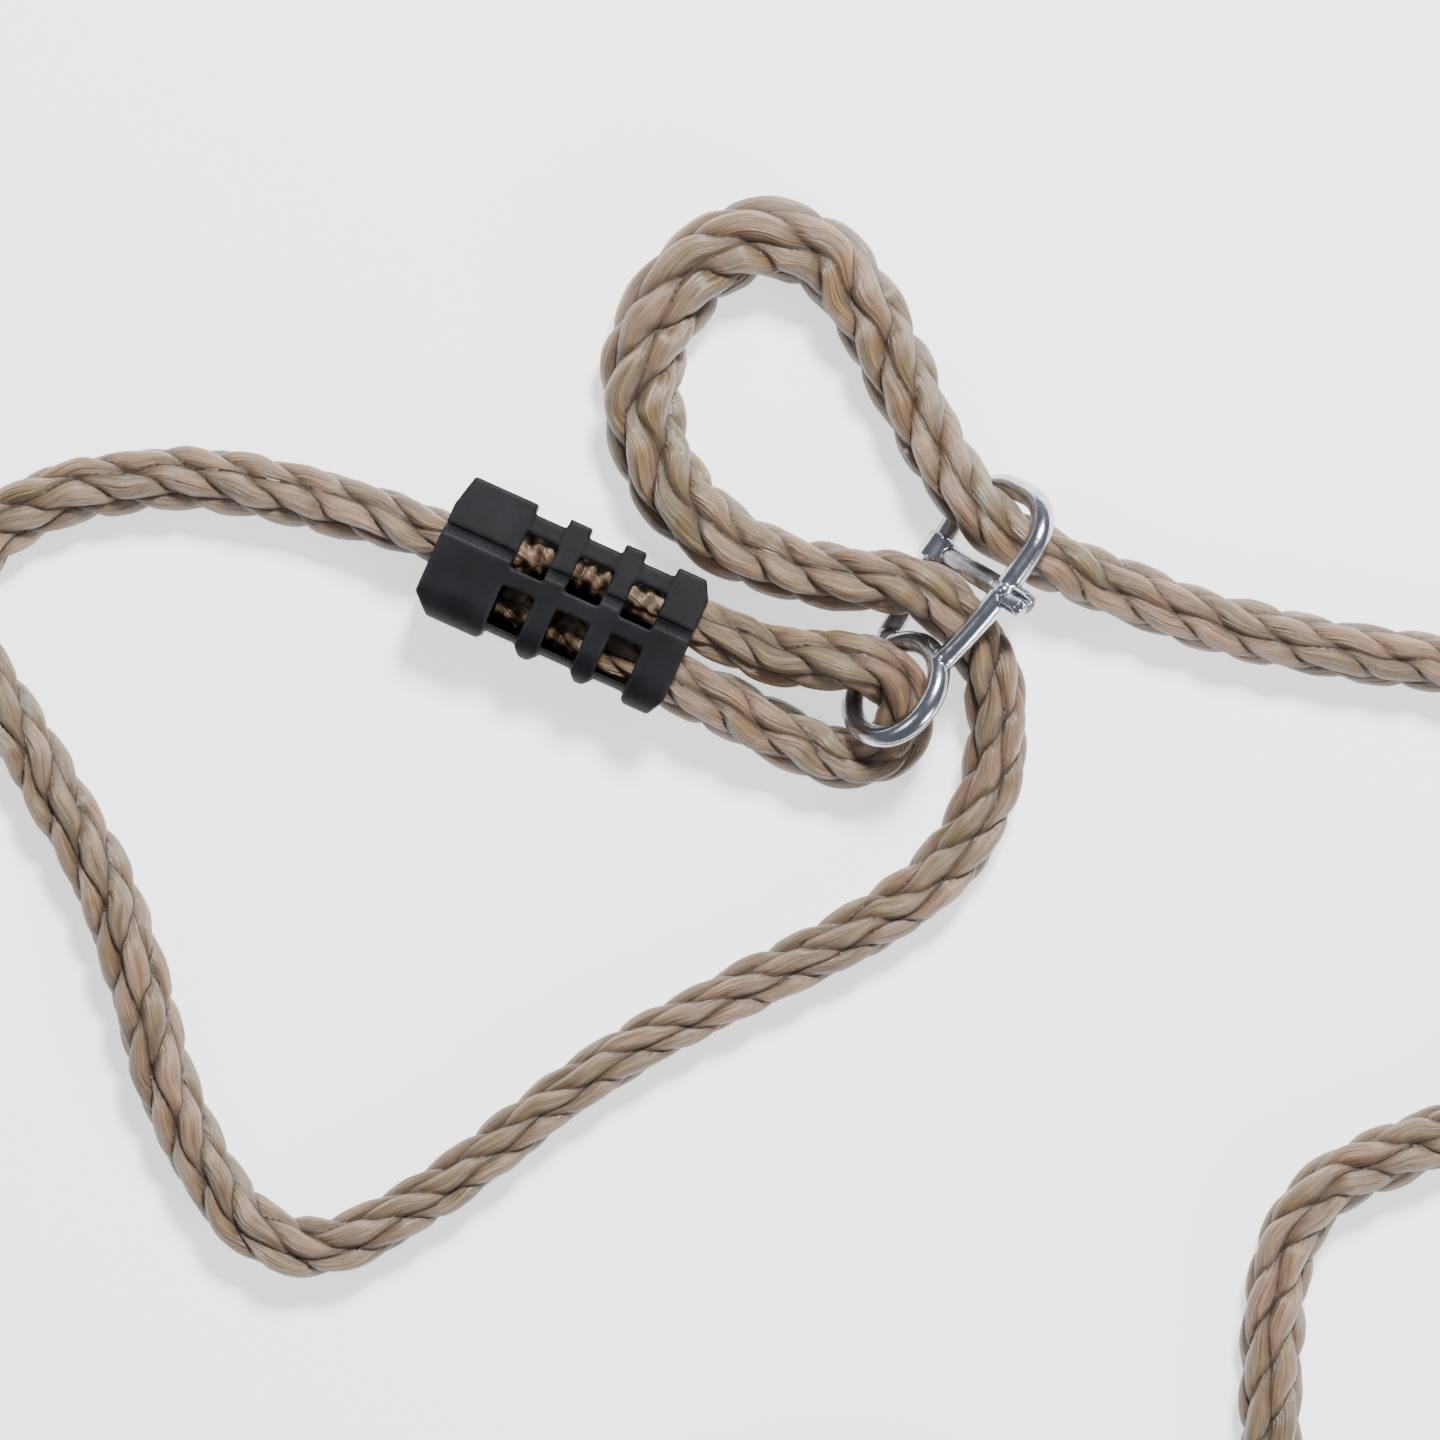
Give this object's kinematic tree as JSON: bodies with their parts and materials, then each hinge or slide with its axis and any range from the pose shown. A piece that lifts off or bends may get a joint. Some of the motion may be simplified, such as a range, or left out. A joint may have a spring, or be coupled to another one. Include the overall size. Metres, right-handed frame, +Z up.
{
  "type": "adjustable playground suspension rope",
  "caption": "Adjustable playground suspension rope: a plaited rope with a clamped eye through a wire length adjuster, a long loop, a slack loop, and a coiled tail with a hanging eye.",
  "frame": {"origin": "on the ground under the middle of the near clamp", "axes": "+Z up from the ground; +X along the clamp and adjuster from the closed collar's side towards the adjuster, seen from above; +Y to its left"},
  "size_m": [0.2753, 0.3235, 0.0209],
  "materials": {
    "rope": "satin plaited split-film polypropylene",
    "clamp_plastic": "matte moulded",
    "adjuster_steel": "bright galvanised wire"
  },
  "bodies": {
    "root": {"clamp_top_shell": "clamp_plastic", "clamp_bottom_shell": "clamp_plastic", "rope_tail_in_clamp": "rope", "rope_in_clamp": "rope", "rope_eye": "rope", "rope_left_run": "rope", "rope_main_loop": "rope", "rope_hanging_run": "rope", "rope_coil": "rope", "rope_far_run": "rope", "rope_in_far_clamp": "rope", "rope_far_eye": "rope", "rope_far_tail": "rope", "far_clamp_top_shell": "clamp_plastic", "far_clamp_bottom_shell": "clamp_plastic"},
    "adjuster": {"adjuster_ring": "adjuster_steel", "adjuster_bow": "adjuster_steel", "adjuster_crossbar": "adjuster_steel", "adjuster_front_weld": "adjuster_steel", "adjuster_back_weld": "adjuster_steel", "rope_slack_loop": "rope"}
  },
  "joints": [
    {"name": "adjuster_swing", "type": "hinge", "parent": "root", "child": "adjuster", "pos_m": [0.05366, -0.01504, 0.0113], "axis": [0, 0, 1], "range_deg": [-15, 0], "deforming": ["rope_main_loop", "rope_hanging_run"]}
  ]
}
